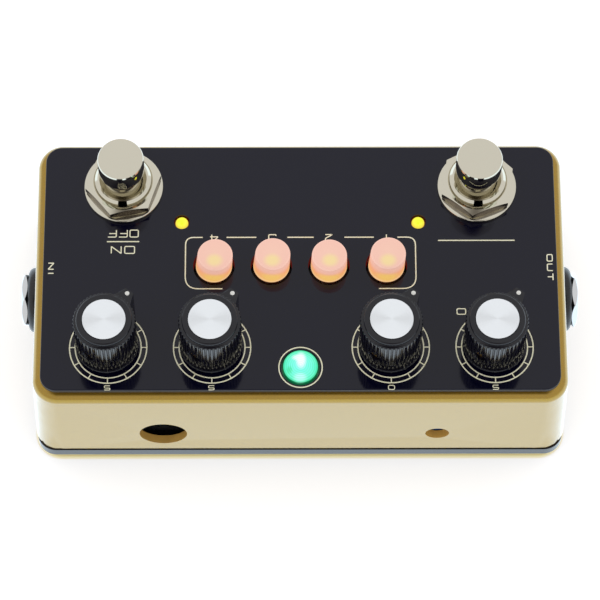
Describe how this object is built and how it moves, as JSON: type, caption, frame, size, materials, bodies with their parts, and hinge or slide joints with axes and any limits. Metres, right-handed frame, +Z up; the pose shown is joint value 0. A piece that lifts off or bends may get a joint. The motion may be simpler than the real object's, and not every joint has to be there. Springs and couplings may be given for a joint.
{
  "type": "delay pedal",
  "caption": "Compact stage effects box for echo: gold die-cast case, fluted pointer dials, lit push buttons, spring foot switches, side sockets and a screwed base cover.",
  "frame": {"origin": "on the floor, under the middle of the case", "axes": "+Z up; +X towards the output socket; -Y the side with the power socket and the trimmer; +Y the side with the foot switches"},
  "size_m": [0.1178, 0.0608, 0.0463],
  "materials": {
    "gold_paint": "satin metallic powder coat on a die casting",
    "black_plate": "gloss black plate with a pale screen print",
    "black_cover": "gloss black paint on a die casting",
    "steel_screw": "zinc plated, turned",
    "foot_rubber": "matt moulded",
    "board_laminate": "solder mask on glass laminate",
    "chip_epoxy": "moulded epoxy",
    "capacitor_can": "drawn can",
    "pot_case": "tinned pressed steel",
    "nut_plating": "bright nickel plate",
    "knob_plastic": "gloss moulded phenolic",
    "knob_disc": "fine spun",
    "set_screw": "turned",
    "shaft_metal": "turned",
    "button_plastic": "milky, lit from below",
    "stem_plastic": "moulded",
    "switch_plastic": "moulded",
    "footswitch_case": "moulded",
    "amber_led": "clear amber epoxy",
    "green_lens": "clear green, lit from below",
    "jack_plastic": "moulded nylon",
    "pin_plating": "nickel plate",
    "trimmer_plastic": "moulded"
  },
  "bodies": {
    "pedal_case": {"enclosure": "gold_paint", "face_plate": "black_plate", "base_cover": "black_cover", "base_screws": "steel_screw", "rubber_feet": "foot_rubber", "main_board": "board_laminate", "board_chips": "chip_epoxy", "board_capacitors": "capacitor_can", "pot_bodies": "pot_case", "pot_washers": "nut_plating", "pot_nuts": "nut_plating", "button_switches": "switch_plastic", "foot_switch_bodies": "footswitch_case", "foot_switch_bushes": "nut_plating", "foot_switch_washers": "nut_plating", "foot_switch_nuts": "nut_plating", "foot_switch_locknuts": "nut_plating", "foot_switch_lugs": "pin_plating", "indicator_leds": "amber_led", "level_lens": "green_lens", "lens_holder": "jack_plastic", "level_led": "stem_plastic", "input_jack": "jack_plastic", "output_jack": "jack_plastic", "jack_collars": "jack_plastic", "jack_nuts": "nut_plating", "control_jack": "jack_plastic", "power_jack": "jack_plastic", "power_jack_pin": "pin_plating", "trimmer_body": "trimmer_plastic"},
    "dial_1": {"knob_1": "knob_plastic", "knob_cap_1": "knob_disc", "knob_screw_1": "set_screw", "knob_shaft_1": "shaft_metal"},
    "dial_2": {"knob_2": "knob_plastic", "knob_cap_2": "knob_disc", "knob_screw_2": "set_screw", "knob_shaft_2": "shaft_metal"},
    "dial_3": {"knob_3": "knob_plastic", "knob_cap_3": "knob_disc", "knob_screw_3": "set_screw", "knob_shaft_3": "shaft_metal"},
    "dial_4": {"knob_4": "knob_plastic", "knob_cap_4": "knob_disc", "knob_screw_4": "set_screw", "knob_shaft_4": "shaft_metal"},
    "button_1": {"button_cap_1": "button_plastic", "button_stem_1": "stem_plastic"},
    "button_2": {"button_cap_2": "button_plastic", "button_stem_2": "stem_plastic"},
    "button_3": {"button_cap_3": "button_plastic", "button_stem_3": "stem_plastic"},
    "button_4": {"button_cap_4": "button_plastic", "button_stem_4": "stem_plastic"},
    "left_foot_button": {"left_foot_plunger": "nut_plating"},
    "right_foot_button": {"right_foot_plunger": "nut_plating"},
    "trimmer": {"trimmer_rotor": "stem_plastic"}
  },
  "joints": [
    {"name": "dial_1_turn", "type": "hinge", "parent": "pedal_case", "child": "dial_1", "pos_m": [-0.0399, -0.0182, 0.03305], "axis": [0, 0, -1], "range_deg": [0, 290]},
    {"name": "dial_2_turn", "type": "hinge", "parent": "pedal_case", "child": "dial_2", "pos_m": [-0.01845, -0.0182, 0.03305], "axis": [0, 0, -1], "range_deg": [0, 290]},
    {"name": "dial_3_turn", "type": "hinge", "parent": "pedal_case", "child": "dial_3", "pos_m": [0.01845, -0.0182, 0.03305], "axis": [0, 0, -1], "range_deg": [0, 290]},
    {"name": "dial_4_turn", "type": "hinge", "parent": "pedal_case", "child": "dial_4", "pos_m": [0.0399, -0.0182, 0.03305], "axis": [0, 0, -1], "range_deg": [0, 290]},
    {"name": "button_1_press", "type": "slide", "parent": "pedal_case", "child": "button_1", "axis": [0, 0, -1], "range_m": [0, 0.0018], "stiffness_N_per_m": 700, "springref_m": -0.0006},
    {"name": "button_2_press", "type": "slide", "parent": "pedal_case", "child": "button_2", "axis": [0, 0, -1], "range_m": [0, 0.0018], "stiffness_N_per_m": 700, "springref_m": -0.0006},
    {"name": "button_3_press", "type": "slide", "parent": "pedal_case", "child": "button_3", "axis": [0, 0, -1], "range_m": [0, 0.0018], "stiffness_N_per_m": 700, "springref_m": -0.0006},
    {"name": "button_4_press", "type": "slide", "parent": "pedal_case", "child": "button_4", "axis": [0, 0, -1], "range_m": [0, 0.0018], "stiffness_N_per_m": 700, "springref_m": -0.0006},
    {"name": "left_foot_press", "type": "slide", "parent": "pedal_case", "child": "left_foot_button", "axis": [0, 0, -1], "range_m": [0, 0.003], "stiffness_N_per_m": 3500, "springref_m": -0.001},
    {"name": "right_foot_press", "type": "slide", "parent": "pedal_case", "child": "right_foot_button", "axis": [0, 0, -1], "range_m": [0, 0.003], "stiffness_N_per_m": 3500, "springref_m": -0.001},
    {"name": "trimmer_turn", "type": "hinge", "parent": "pedal_case", "child": "trimmer", "pos_m": [0.0288, -0.02799, 0.0124], "axis": [0, -1, 0], "range_deg": [-130, 130]}
  ]
}
